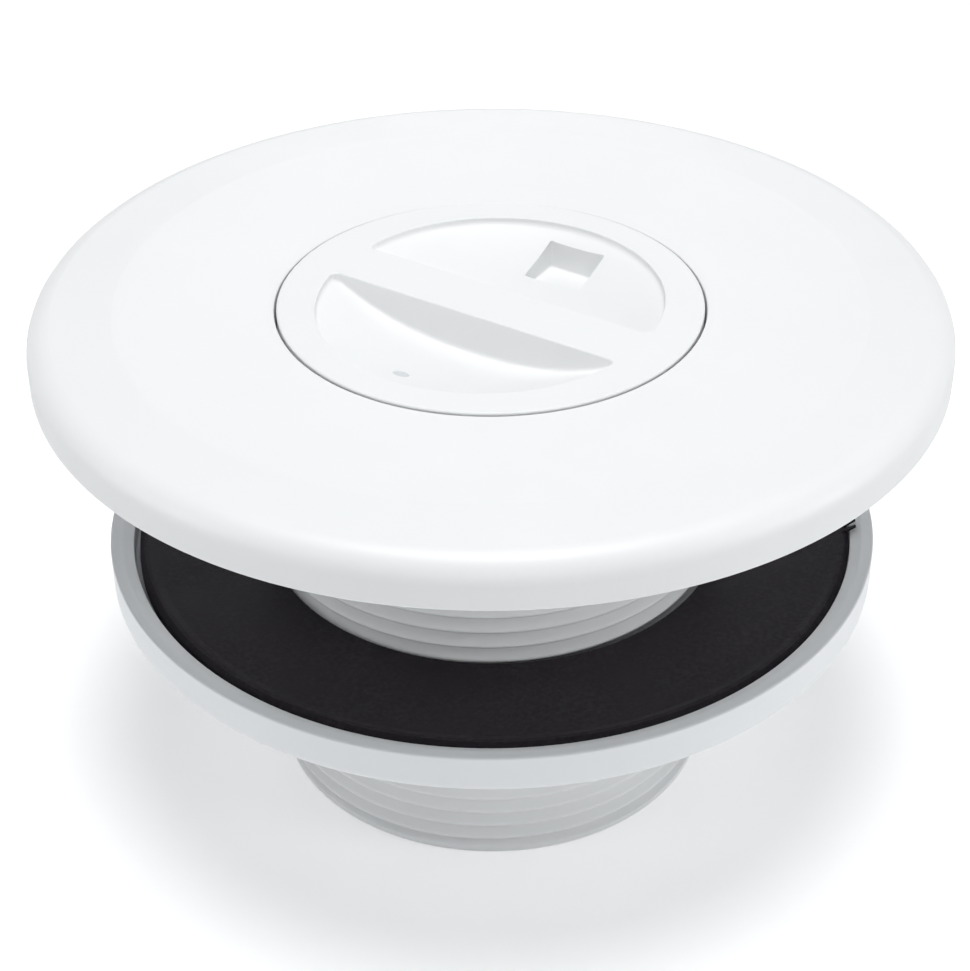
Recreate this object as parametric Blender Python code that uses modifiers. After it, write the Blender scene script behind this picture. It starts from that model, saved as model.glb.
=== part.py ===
"""Pool suction fitting: a wall fitting for a pool with a rigid wall.

One white moulding is the faceplate and the threaded stem. A plug screws into
the plate, a flanged lock nut and a rubber gasket clamp the fitting to the
wall. The stem stands on its end at z = 0, and its axis is the z axis.
"""

import math

import bmesh
import bpy
from mathutils import Matrix

MM = 0.001

# General values
SEGMENTS = 72
PLUG_SEGMENTS = 60
SEAT_GAP = 0.3 * MM          # between faces that touch on the real object
THREAD_CLEARANCE = 0.3 * MM  # between two threads, drawn as plain cylinders

# Plug, a winter plug that screws into the plate
PLUG_THREAD_RADIUS = 23.6 * MM
PLUG_THREAD_LENGTH = 13.9 * MM
PLUG_THREAD_CHAMFER = 0.7 * MM
PLUG_WALL = 2.4 * MM
PLUG_FLOOR = 2.0 * MM
PLUG_HEAD_OVERHANG = 3.65 * MM  # of the head over the thread
PLUG_HEAD_PLAY = 0.55 * MM   # between the plug's head and the hole in the plate
PLUG_HEAD_THICKNESS = 3.9 * MM
PLUG_RISE = 0.25 * MM        # the plug's face stands above the edge of its hole
PLUG_EDGE_ROUND = 0.25 * MM
PLUG_END_PLAY = 2.8 * MM     # below the plug's skirt
RECESS_RIM = 4.2 * MM        # least width of the flat ring round the finger recesses
RECESS_OFFSET = 1.45 * MM    # from the plug's axis to the middle of a recess's round edge
RECESS_STEP = 0.9 * MM       # steep edge round the finger recesses
RECESS_STEP_WIDTH = 0.6 * MM
RECESS_DISH = 4.5 * MM
RECESS_POWER = 2.5
GRIP_BAR_WIDTH = 8.0 * MM
GRIP_BAR_OFFSET = -0.65 * MM  # of the bar's middle from the plug's axis
GRIP_BAR_ANGLE = math.radians(-33.1)
KEY_POCKET_WIDTH = 8.45 * MM
KEY_POCKET_OFFSET = 0.5 * MM
KEY_POCKET_LENGTH = 6.75 * MM
KEY_POCKET_INSET = 2.2 * MM  # from the edge of the finger recess
KEY_POCKET_DEPTH = 5.75 * MM

# O-ring under the plug's head
O_RING_SECTION = 2.1 * MM

# Stem of the body
STEM_LENGTH = 65.1 * MM      # from the stem's end to the plate's wall seat
STEM_WALL = 2.0 * MM         # round the plug's head
STEM_CHAMFER = 0.4 * MM
STEM_FILLET = 1.5 * MM
SOCKET_WALL = 4.65 * MM      # round the socket for the outlet pipe
SOCKET_DEPTH = 31.0 * MM
SOCKET_CHAMFER = 0.5 * MM
PIPE_STOP_STEP = 1.5 * MM

# Faceplate of the body
PLATE_RADIUS = 58.8 * MM
PLATE_THICKNESS = 2.65 * MM  # at the plug's hole
PLATE_RIDGE_INSET = 10.8 * MM
PLATE_DISH = 1.45 * MM       # rise from the plug's hole to the ridge
PLATE_FALL = 0.3 * MM        # fall from the ridge to the rounded edge
PLATE_EDGE_ROUND = 3.4 * MM
PLATE_SMALL_ROUND = 0.3 * MM
PLATE_RIM_WALL = 3.2 * MM
PLATE_RIM_DEPTH = 2.5 * MM   # how far the rim stands below the wall seat
POCKET_COUNT = 24            # pockets that core out the plate's underside
POCKET_WIDTH = 5.3 * MM
POCKET_RIM_STEP = 0.7 * MM
POCKET_DEPTH = 1.1 * MM
POCKET_RIB = 1.6 * MM

# Lock nut
NUT_TOP = 35.55 * MM         # height of the nut's lip above the stem's end
NUT_OVERHANG = 16.85 * MM    # of the flange over the hub
NUT_LIP_WIDTH = 3.25 * MM
NUT_RIM_HEIGHT = 5.05 * MM
NUT_HEIGHT = 16.0 * MM
NUT_WALL = 4.5 * MM
NUT_FLANGE_THICKNESS = 2.9 * MM
NUT_EDGE_ROUND = 0.5 * MM
NUT_FILLET = 1.5 * MM
NUT_CHAMFER = 0.6 * MM
LUG_COUNT = 8
LUG_THICKNESS = 4.0 * MM
LUG_INSET = 3.6 * MM         # from the gasket's recess to the tip of a lug
LUG_TIP_HEIGHT = 2.2 * MM

# Wall gasket
GASKET_THICKNESS = 2.2 * MM
GASKET_PLAY = 0.5 * MM       # between the gasket and the nut's lip
GASKET_BORE_PLAY = 0.5 * MM  # between the gasket and the stem
GASKET_DISH = 1.4 * MM       # the gasket's bore lies below its outer edge
GASKET_SINK = 0.65 * MM      # the bead lies below the nut's lip
GASKET_BEAD = 0.4 * MM
GASKET_BEAD_WIDTH = 2.0 * MM

# Radii that follow from the values above
PLUG_BORE_RADIUS = PLUG_THREAD_RADIUS + THREAD_CLEARANCE
PLUG_HEAD_RADIUS = PLUG_THREAD_RADIUS + PLUG_HEAD_OVERHANG
RECESS_RADIUS = PLUG_HEAD_RADIUS - RECESS_RIM - RECESS_OFFSET
O_RING_RADIUS = PLUG_THREAD_RADIUS + SEAT_GAP + O_RING_SECTION / 2
HOLE_RADIUS = PLUG_HEAD_RADIUS + PLUG_HEAD_PLAY
STEM_RADIUS = HOLE_RADIUS + STEM_WALL
SOCKET_RADIUS = STEM_RADIUS - SOCKET_WALL
PIPE_STOP_RADIUS = PLUG_BORE_RADIUS - PIPE_STOP_STEP
RIM_INNER_RADIUS = PLATE_RADIUS - PLATE_RIM_WALL
NUT_BORE_RADIUS = STEM_RADIUS + THREAD_CLEARANCE
NUT_HUB_RADIUS = NUT_BORE_RADIUS + NUT_WALL
NUT_RADIUS = NUT_HUB_RADIUS + NUT_OVERHANG
NUT_RECESS_RADIUS = NUT_RADIUS - NUT_LIP_WIDTH
LUG_REACH = NUT_RECESS_RADIUS - LUG_INSET
GASKET_RADIUS = NUT_RECESS_RADIUS - GASKET_PLAY
GASKET_BORE_RADIUS = STEM_RADIUS + GASKET_BORE_PLAY

# Heights that follow from the values above
SEAT_Z = STEM_LENGTH
RIM_Z = SEAT_Z - PLATE_RIM_DEPTH
HOLE_Z = SEAT_Z + PLATE_THICKNESS
RIDGE_Z = HOLE_Z + PLATE_DISH
PLUG_Z = HOLE_Z + PLUG_RISE
PLUG_HEAD_Z = PLUG_Z - PLUG_HEAD_THICKNESS
PLUG_END_Z = PLUG_HEAD_Z - PLUG_THREAD_LENGTH
COUNTERBORE_Z = PLUG_HEAD_Z - O_RING_SECTION - 2 * SEAT_GAP
PLUG_BORE_END_Z = PLUG_END_Z - PLUG_END_PLAY
NUT_END_Z = NUT_TOP - NUT_HEIGHT
GASKET_EDGE_Z = NUT_TOP - GASKET_SINK - GASKET_BEAD


def arc(centre_r, centre_z, radius, start, end, steps=5):
    """Points of an arc in the profile plane, angles in degrees from +r towards +z."""
    points = []
    for step in range(steps + 1):
        angle = math.radians(start + (end - start) * step / steps)
        points.append((centre_r + radius * math.cos(angle), centre_z + radius * math.sin(angle)))
    return points


def collection(name):
    made = bpy.data.collections.new(name)
    bpy.context.scene.collection.children.link(made)
    return made


def material(name, colour, roughness):
    made = bpy.data.materials.new(name)
    made.use_nodes = True
    shader = made.node_tree.nodes["Principled BSDF"]
    shader.inputs["Base Color"].default_value = (*colour, 1.0)
    shader.inputs["Roughness"].default_value = roughness
    shader.inputs["Metallic"].default_value = 0.0
    made.diffuse_color = (*colour, 1.0)
    return made


def add_object(name, mesh, group):
    made = bpy.data.objects.new(name, mesh)
    group.objects.link(made)
    if group is cutters:
        made.hide_render = True
        made.display_type = "WIRE"
    return made


def turned(name, profile, group, segments=SEGMENTS):
    """A solid turned about the z axis from a profile that runs down its outer side."""
    closed = profile[0][0] > 0.0
    count = len(profile)
    edges = [(index, index + 1) for index in range(count - 1)]
    if closed:
        edges.append((count - 1, 0))
    outline = bpy.data.meshes.new(name)
    outline.from_pydata([(r, 0.0, z) for r, z in profile], edges, [])
    made = add_object(name, outline, group)
    screw = made.modifiers.new("Turn", "SCREW")
    screw.axis = "Z"
    screw.angle = math.tau
    screw.steps = segments
    screw.render_steps = segments
    screw.use_merge_vertices = True
    screw.merge_threshold = 0.01 * MM
    settle(made)
    return made


def settle(made):
    """Replace an object's mesh by its evaluated one, shaded smooth with sharp edges."""
    bpy.context.view_layer.update()
    graph = bpy.context.evaluated_depsgraph_get()
    mesh = bpy.data.meshes.new_from_object(made.evaluated_get(graph))
    old = made.data
    made.modifiers.clear()
    made.data = mesh
    bpy.data.meshes.remove(old)
    mesh.name = made.name
    mesh.shade_smooth()
    mesh.set_sharp_from_angle(angle=math.radians(30))


def block(name, centre, size, turn=0.0):
    """A box cutter, turned about the z axis through the origin."""
    mesh = bpy.data.meshes.new(name)
    shape = bmesh.new()
    bmesh.ops.create_cube(shape, size=1.0)
    bmesh.ops.scale(shape, vec=size, verts=shape.verts)
    bmesh.ops.translate(shape, vec=centre, verts=shape.verts)
    shape.to_mesh(mesh)
    shape.free()
    made = add_object(name, mesh, cutters)
    made.rotation_euler.z = turn
    return made


def pattern_of_prisms(name, outline, height, count, group):
    """Copies of a flat outline, extruded along its normal and set evenly about the z axis."""
    mesh = bpy.data.meshes.new(name)
    shape = bmesh.new()
    base = [shape.verts.new(point) for point in outline]
    face = shape.faces.new(base)
    grown = bmesh.ops.extrude_face_region(shape, geom=[face])
    moved = [item for item in grown["geom"] if isinstance(item, bmesh.types.BMVert)]
    bmesh.ops.translate(shape, vec=height, verts=moved)
    bmesh.ops.recalc_face_normals(shape, faces=shape.faces)
    first = shape.verts[:] + shape.edges[:] + shape.faces[:]
    for index in range(1, count):
        copy = bmesh.ops.duplicate(shape, geom=first)
        verts = [item for item in copy["geom"] if isinstance(item, bmesh.types.BMVert)]
        turn = Matrix.Rotation(math.tau * index / count, 3, "Z")
        bmesh.ops.rotate(shape, verts=verts, cent=(0, 0, 0), matrix=turn)
    shape.to_mesh(mesh)
    shape.free()
    return add_object(name, mesh, group)


def combine(target, tool, operation):
    boolean = target.modifiers.new(tool.name, "BOOLEAN")
    boolean.operation = operation
    boolean.solver = "EXACT"
    boolean.object = tool


def body_profile():
    shoulder_r = PLATE_RADIUS - PLATE_EDGE_ROUND
    shoulder_z = RIDGE_Z - PLATE_FALL - PLATE_EDGE_ROUND
    small = PLATE_SMALL_ROUND
    points = arc(HOLE_RADIUS + small, HOLE_Z - small, small, 180, 90, 2)
    points.append((PLATE_RADIUS - PLATE_RIDGE_INSET, RIDGE_Z))
    points += arc(shoulder_r, shoulder_z, PLATE_EDGE_ROUND, 90, 0, 6)
    points += arc(PLATE_RADIUS - small, RIM_Z + small, small, 0, -90, 2)
    points.append((RIM_INNER_RADIUS, RIM_Z))
    points.append((RIM_INNER_RADIUS, SEAT_Z))
    points += arc(STEM_RADIUS + STEM_FILLET, SEAT_Z - STEM_FILLET, STEM_FILLET, 90, 180, 3)
    points.append((STEM_RADIUS, STEM_CHAMFER))
    points.append((STEM_RADIUS - STEM_CHAMFER, 0.0))
    points.append((SOCKET_RADIUS + SOCKET_CHAMFER, 0.0))
    points.append((SOCKET_RADIUS, SOCKET_CHAMFER))
    points.append((SOCKET_RADIUS, SOCKET_DEPTH))
    points.append((PIPE_STOP_RADIUS, SOCKET_DEPTH))
    points.append((PIPE_STOP_RADIUS, PLUG_BORE_END_Z - PIPE_STOP_STEP))
    points.append((PLUG_BORE_RADIUS, PLUG_BORE_END_Z))
    points.append((PLUG_BORE_RADIUS, COUNTERBORE_Z - SOCKET_CHAMFER))
    points.append((PLUG_BORE_RADIUS + SOCKET_CHAMFER, COUNTERBORE_Z))
    points.append((HOLE_RADIUS, COUNTERBORE_Z))
    return points


def make_fitting_body():
    """Faceplate and stem in one moulding, with pockets that core out the plate's underside."""
    body = turned("fitting_body", body_profile(), parts)
    outer = RIM_INNER_RADIUS - POCKET_RIM_STEP
    steps = SEGMENTS // POCKET_COUNT
    half = math.pi / POCKET_COUNT
    start_z = SEAT_Z - PLATE_RIM_DEPTH / 2
    outline = []
    for radius, sign in ((outer - POCKET_WIDTH, 1), (outer, -1)):
        reach = half - POCKET_RIB / 2 / radius
        for step in range(steps + 1):
            angle = sign * reach * (2 * step / steps - 1)
            outline.append((radius * math.cos(angle), radius * math.sin(angle), start_z))
    height = (0.0, 0.0, PLATE_RIM_DEPTH / 2 + POCKET_DEPTH)
    pockets = pattern_of_prisms("plate_pockets", outline, height, POCKET_COUNT, cutters)
    combine(body, pockets, "DIFFERENCE")
    body.data.materials.append(white)
    return body


def recess_depth(radius):
    """Depth of a finger recess below the plug's face, at a radius from its own middle."""
    step_start = RECESS_RADIUS - RECESS_STEP_WIDTH
    share = min(1.0, (RECESS_RADIUS - radius) / (RECESS_RADIUS - step_start))
    step = RECESS_STEP * math.sqrt(max(0.0, 1.0 - (1.0 - share) ** 2))
    return step + RECESS_DISH * (1.0 - (radius / RECESS_RADIUS) ** RECESS_POWER)


def dish_points(outer_radius, drop, rings=10):
    """The recess floor from its outer radius to the axis, lowered by a drop."""
    points = []
    for ring in range(rings + 1):
        radius = outer_radius * (1.0 - ring / rings)
        points.append((radius, PLUG_Z - recess_depth(radius) - drop))
    return points


def make_plug():
    """Screw plug with a grip bar between two scooped finger recesses, hollow below."""
    profile = [(0.0, PLUG_Z)]
    profile += arc(PLUG_HEAD_RADIUS - PLUG_EDGE_ROUND, PLUG_Z - PLUG_EDGE_ROUND, PLUG_EDGE_ROUND, 90, 0, 2)
    profile.append((PLUG_HEAD_RADIUS, PLUG_HEAD_Z))
    profile.append((PLUG_THREAD_RADIUS, PLUG_HEAD_Z))
    profile.append((PLUG_THREAD_RADIUS, PLUG_END_Z + PLUG_THREAD_CHAMFER))
    profile.append((PLUG_THREAD_RADIUS - PLUG_THREAD_CHAMFER, PLUG_END_Z))
    profile.append((0.0, PLUG_END_Z))
    plug = turned("plug", profile, parts, PLUG_SEGMENTS)

    margin = 2.0 * MM
    step_start = RECESS_RADIUS - RECESS_STEP_WIDTH
    step_middle = RECESS_RADIUS - RECESS_STEP_WIDTH / 4
    recess = [(0.0, PLUG_Z + margin), (RECESS_RADIUS, PLUG_Z + margin), (RECESS_RADIUS, PLUG_Z)]
    recess.append((step_middle, PLUG_Z - recess_depth(step_middle)))
    recess += dish_points(step_start, 0.0)
    reach = 3 * RECESS_RADIUS
    for side, name in ((1, "far_recess"), (-1, "near_recess")):
        scoop = turned(name, recess, cutters, PLUG_SEGMENTS)
        scoop.location.x = -side * RECESS_OFFSET * math.sin(GRIP_BAR_ANGLE)
        scoop.location.y = side * RECESS_OFFSET * math.cos(GRIP_BAR_ANGLE)
        bar_y = GRIP_BAR_OFFSET + side * (GRIP_BAR_WIDTH - reach) / 2
        bar = block(name + "_bar", (0.0, bar_y, PLUG_Z), (reach, reach, 8 * RECESS_DISH), GRIP_BAR_ANGLE)
        combine(scoop, bar, "DIFFERENCE")
        combine(plug, scoop, "DIFFERENCE")

    pocket_x = KEY_POCKET_OFFSET
    pocket_y = RECESS_OFFSET + RECESS_RADIUS - KEY_POCKET_INSET - KEY_POCKET_LENGTH / 2
    pocket_z = PLUG_Z - KEY_POCKET_DEPTH / 2 + margin / 2
    pocket_size = (KEY_POCKET_WIDTH, KEY_POCKET_LENGTH, KEY_POCKET_DEPTH + margin)
    pocket = block("key_pocket", (pocket_x, pocket_y, pocket_z), pocket_size, GRIP_BAR_ANGLE)
    combine(plug, pocket, "DIFFERENCE")

    skirt_radius = PLUG_THREAD_RADIUS - PLUG_WALL
    hollow_profile = dish_points(skirt_radius, PLUG_FLOOR)[::-1]
    hollow_profile += [(skirt_radius, PLUG_END_Z - margin), (0.0, PLUG_END_Z - margin)]
    hollow = turned("plug_hollow", hollow_profile, cutters, PLUG_SEGMENTS)
    boss_size = (KEY_POCKET_WIDTH + 2 * PLUG_FLOOR, KEY_POCKET_LENGTH + 4 * PLUG_FLOOR, 4 * KEY_POCKET_DEPTH)
    boss_y = pocket_y + PLUG_FLOOR
    boss_z = PLUG_Z - KEY_POCKET_DEPTH - PLUG_FLOOR + boss_size[2] / 2
    boss = block("key_pocket_boss", (pocket_x, boss_y, boss_z), boss_size, GRIP_BAR_ANGLE)
    combine(hollow, boss, "DIFFERENCE")
    combine(plug, hollow, "DIFFERENCE")

    slot_size = (1.5 * RECESS_RADIUS, GRIP_BAR_WIDTH - 2 * PLUG_FLOOR, PLUG_Z - PLUG_FLOOR - PLUG_END_Z)
    slot_z = PLUG_Z - PLUG_FLOOR - slot_size[2] / 2
    slot = block("grip_bar_slot", (0.0, GRIP_BAR_OFFSET, slot_z), slot_size, GRIP_BAR_ANGLE)
    combine(plug, slot, "DIFFERENCE")
    plug.data.materials.append(white_plug)
    return plug


def make_plug_o_ring():
    """Rubber ring round the plug's neck, between its head and the counterbore."""
    bpy.ops.mesh.primitive_torus_add(
        major_segments=PLUG_SEGMENTS,
        minor_segments=8,
        major_radius=O_RING_RADIUS,
        minor_radius=O_RING_SECTION / 2,
        location=(0.0, 0.0, COUNTERBORE_Z + SEAT_GAP + O_RING_SECTION / 2),
    )
    ring = bpy.context.object
    ring.name = "plug_o_ring"
    ring.data.name = ring.name
    for owner in list(ring.users_collection):
        owner.objects.unlink(ring)
    parts.objects.link(ring)
    ring.data.shade_smooth()
    ring.data.materials.append(black_ring)
    return ring


def gasket_height(radius):
    """Height of the gasket's dished upper face."""
    share = (GASKET_RADIUS - radius) / (GASKET_RADIUS - GASKET_BORE_RADIUS)
    return GASKET_EDGE_Z - GASKET_DISH * share


def nut_seat_height(radius):
    return gasket_height(radius) - GASKET_THICKNESS - SEAT_GAP


def make_wall_gasket():
    """Flat rubber gasket, dished by the nut's seat, with a bead along its outer edge."""
    bead_start = GASKET_RADIUS - GASKET_BEAD_WIDTH
    middle = GASKET_RADIUS - GASKET_BEAD_WIDTH / 2
    edge_z = gasket_height(GASKET_RADIUS)
    profile = [(GASKET_BORE_RADIUS, gasket_height(GASKET_BORE_RADIUS))]
    profile.append((bead_start, gasket_height(bead_start)))
    profile.append((middle, gasket_height(middle) + GASKET_BEAD))
    profile.append((GASKET_RADIUS - GASKET_BEAD, edge_z + GASKET_BEAD / 2))
    profile.append((GASKET_RADIUS, edge_z - GASKET_BEAD / 2))
    profile.append((GASKET_RADIUS, edge_z - GASKET_THICKNESS + GASKET_BEAD / 2))
    profile.append((GASKET_RADIUS - GASKET_BEAD / 2, gasket_height(GASKET_RADIUS) - GASKET_THICKNESS))
    profile.append((GASKET_BORE_RADIUS, gasket_height(GASKET_BORE_RADIUS) - GASKET_THICKNESS))
    gasket = turned("wall_gasket", profile, parts)
    gasket.data.materials.append(black)
    return gasket


def nut_profile():
    rim_z = NUT_TOP - NUT_RIM_HEIGHT
    web_r = NUT_RECESS_RADIUS - NUT_FLANGE_THICKNESS / 2
    web_z = nut_seat_height(web_r) - NUT_FLANGE_THICKNESS
    hub_z = nut_seat_height(NUT_HUB_RADIUS + NUT_FILLET) - NUT_FLANGE_THICKNESS
    points = [(NUT_RECESS_RADIUS, NUT_TOP)]
    points += arc(NUT_RADIUS - NUT_EDGE_ROUND, NUT_TOP - NUT_EDGE_ROUND, NUT_EDGE_ROUND, 90, 0, 3)
    points += arc(NUT_RADIUS - NUT_EDGE_ROUND, rim_z + NUT_EDGE_ROUND, NUT_EDGE_ROUND, 0, -90, 3)
    points.append((NUT_RECESS_RADIUS + NUT_EDGE_ROUND, rim_z))
    points.append((web_r, web_z))
    points += arc(NUT_HUB_RADIUS + NUT_FILLET, hub_z - NUT_FILLET, NUT_FILLET, 90, 180, 3)
    points.append((NUT_HUB_RADIUS, NUT_END_Z + NUT_CHAMFER))
    points.append((NUT_HUB_RADIUS - NUT_CHAMFER, NUT_END_Z))
    points.append((NUT_BORE_RADIUS + NUT_CHAMFER, NUT_END_Z))
    points.append((NUT_BORE_RADIUS, NUT_END_Z + NUT_CHAMFER))
    points.append((NUT_BORE_RADIUS, nut_seat_height(NUT_BORE_RADIUS) - NUT_CHAMFER))
    points.append((NUT_BORE_RADIUS + NUT_CHAMFER, nut_seat_height(NUT_BORE_RADIUS + NUT_CHAMFER)))
    points.append((NUT_RECESS_RADIUS, nut_seat_height(NUT_RECESS_RADIUS)))
    return points


def make_lock_nut():
    """Flanged nut with a dished seat for the gasket and grip lugs between flange and hub."""
    nut = turned("lock_nut", nut_profile(), parts)
    inner_r = (NUT_HUB_RADIUS + NUT_BORE_RADIUS) / 2
    inside = NUT_FLANGE_THICKNESS / 2
    half = LUG_THICKNESS / 2
    tip_z = nut_seat_height(LUG_REACH) - NUT_FLANGE_THICKNESS - LUG_TIP_HEIGHT
    outline = [
        (inner_r, -half, nut_seat_height(inner_r) - inside),
        (LUG_REACH, -half, nut_seat_height(LUG_REACH) - inside),
        (LUG_REACH, -half, tip_z),
        (NUT_HUB_RADIUS + NUT_FILLET, -half, NUT_END_Z + NUT_CHAMFER),
        (inner_r, -half, NUT_END_Z + NUT_CHAMFER),
    ]
    lugs = pattern_of_prisms("nut_lugs", outline, (0.0, LUG_THICKNESS, 0.0), LUG_COUNT, cutters)
    combine(nut, lugs, "UNION")
    nut.data.materials.append(white_nut)
    return nut


for old in list(bpy.data.objects):
    bpy.data.objects.remove(old, do_unlink=True)

parts = collection("pool_suction_fitting")
cutters = collection("cutters")
white = material("white_abs_body", (0.86, 0.87, 0.87), 0.38)
white_plug = material("white_abs_plug", (0.86, 0.87, 0.87), 0.38)
white_nut = material("white_abs_nut", (0.84, 0.85, 0.86), 0.42)
black = material("black_epdm_gasket", (0.012, 0.011, 0.012), 0.6)
black_ring = material("black_epdm_o_ring", (0.012, 0.011, 0.012), 0.5)

make_fitting_body()
make_plug_o_ring()
make_plug()
make_wall_gasket()
make_lock_nut()
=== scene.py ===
"""Looks of the pool suction fitting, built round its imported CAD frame.

Each CAD node is replaced by a finer mesh of the same form: the threads, the
rounded edges and the small moulding marks are real geometry. Every height is
above the stem's end, every radius is from the z axis. A profile is a list of
corners (radius, height, fillet) in millimetres.
"""

import math

import bmesh
import bpy
from mathutils import Matrix, Vector


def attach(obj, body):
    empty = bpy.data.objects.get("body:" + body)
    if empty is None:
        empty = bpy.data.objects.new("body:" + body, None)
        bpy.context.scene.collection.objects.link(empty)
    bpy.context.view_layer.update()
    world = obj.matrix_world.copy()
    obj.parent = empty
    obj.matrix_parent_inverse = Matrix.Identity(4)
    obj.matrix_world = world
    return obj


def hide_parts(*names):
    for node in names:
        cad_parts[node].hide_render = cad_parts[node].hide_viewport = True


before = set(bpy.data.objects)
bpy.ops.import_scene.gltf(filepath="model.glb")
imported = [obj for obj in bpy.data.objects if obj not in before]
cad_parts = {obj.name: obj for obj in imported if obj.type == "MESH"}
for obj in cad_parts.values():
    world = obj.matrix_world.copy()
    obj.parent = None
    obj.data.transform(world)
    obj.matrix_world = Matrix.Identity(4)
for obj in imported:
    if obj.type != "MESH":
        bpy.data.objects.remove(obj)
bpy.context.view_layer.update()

MM = 0.001
TINY = 0.001 * MM                        # less than this is no distance
SEGMENTS = 192                           # of a full turn
SUPPORT = 0.35                           # of a fillet's radius: how far its support points stand off
SHARP = math.radians(50)                 # an edge steeper than this isn't shaded smooth

# Pipe thread G2 on the stem and in the nut, G1 1/2 on the plug and in the plate
PITCH = 2.309 * MM
THREAD_DEPTH = 0.6403 * PITCH
# One pitch of the 55 degree profile, as (share of the pitch, share of the depth)
THREAD_STEPS = (
    (-0.04, 0.991), (0.04, 0.991), (0.1218, 0.885), (0.3782, 0.115),
    (0.46, 0.009), (0.54, 0.009), (0.6218, 0.115), (0.8782, 0.885),
)
STEM_THREAD_RADIUS = 29.8 * MM
STEM_FIRST_CREST = 37.79 * MM            # height of a crest at angle zero
NUT_THREAD_CLEARANCE = 0.16 * MM
PLUG_THREAD_RADIUS = 23.6 * MM
PLUG_BORE_RADIUS = 23.9 * MM
PLUG_FIRST_CREST = 55.0 * MM

# The plug's face, its two finger recesses and the grip bar between them
PLUG_FACE = 68.0 * MM
RECESS_RADIUS = 21.6 * MM
RECESS_OFFSET = 1.45 * MM                # from the axis to the middle of a recess's round edge
RECESS_STEP = 0.9 * MM                   # depth at the foot of the wall
RECESS_DISH = 4.5 * MM                   # further depth in the middle
RECESS_POWER = 2.5                       # of the radius: how the floor rises from there
RECESS_CORNER = 1.3 * MM
NEAR_BAR_SIDE = 4.65 * MM                # from the axis to the bar's side
FAR_BAR_SIDE = 3.35 * MM
BAR_ANGLE = math.radians(-33.1)
POCKET_SIDES = (-3.73 * MM, 4.72 * MM)   # of the key pocket, along the bar
POCKET_ENDS = (14.1 * MM, 20.85 * MM)    # of the key pocket, across the bar
POCKET_FLOOR = 62.25 * MM
PLUG_FLOOR = 2.0 * MM                    # thickness of the plug's wall under its face
GATE_MARK = (-2.45 * MM, -16.65 * MM)    # along and across the bar: where the melt was let in
GATE_RADIUS = 1.1 * MM
GATE_DEPTH = 0.2 * MM

GASKET_SLIDE = (0.3 * MM, -0.22 * MM)    # the gasket lies off centre, within its play
FLASH = (-4.0, -5.7)                     # where flash stands up on its edge, in degrees


def linear(code):
    """An sRGB hex colour as linear RGBA."""
    values = []
    for start in (1, 3, 5):
        value = int(code[start:start + 2], 16) / 255
        values.append(value / 12.92 if value <= 0.04045 else ((value + 0.055) / 1.055) ** 2.4)
    return (*values, 1.0)


def add(tree, kind, settings=None, inputs=None):
    """Add a node. An input is a value or another node's output socket."""
    node = tree.nodes.new(kind)
    for name, value in (settings or {}).items():
        setattr(node, name, value)
    for key, value in (inputs or {}).items():
        if isinstance(value, bpy.types.NodeSocket):
            tree.links.new(value, node.inputs[key])
        else:
            node.inputs[key].default_value = value
    return node


# Materials


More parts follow.
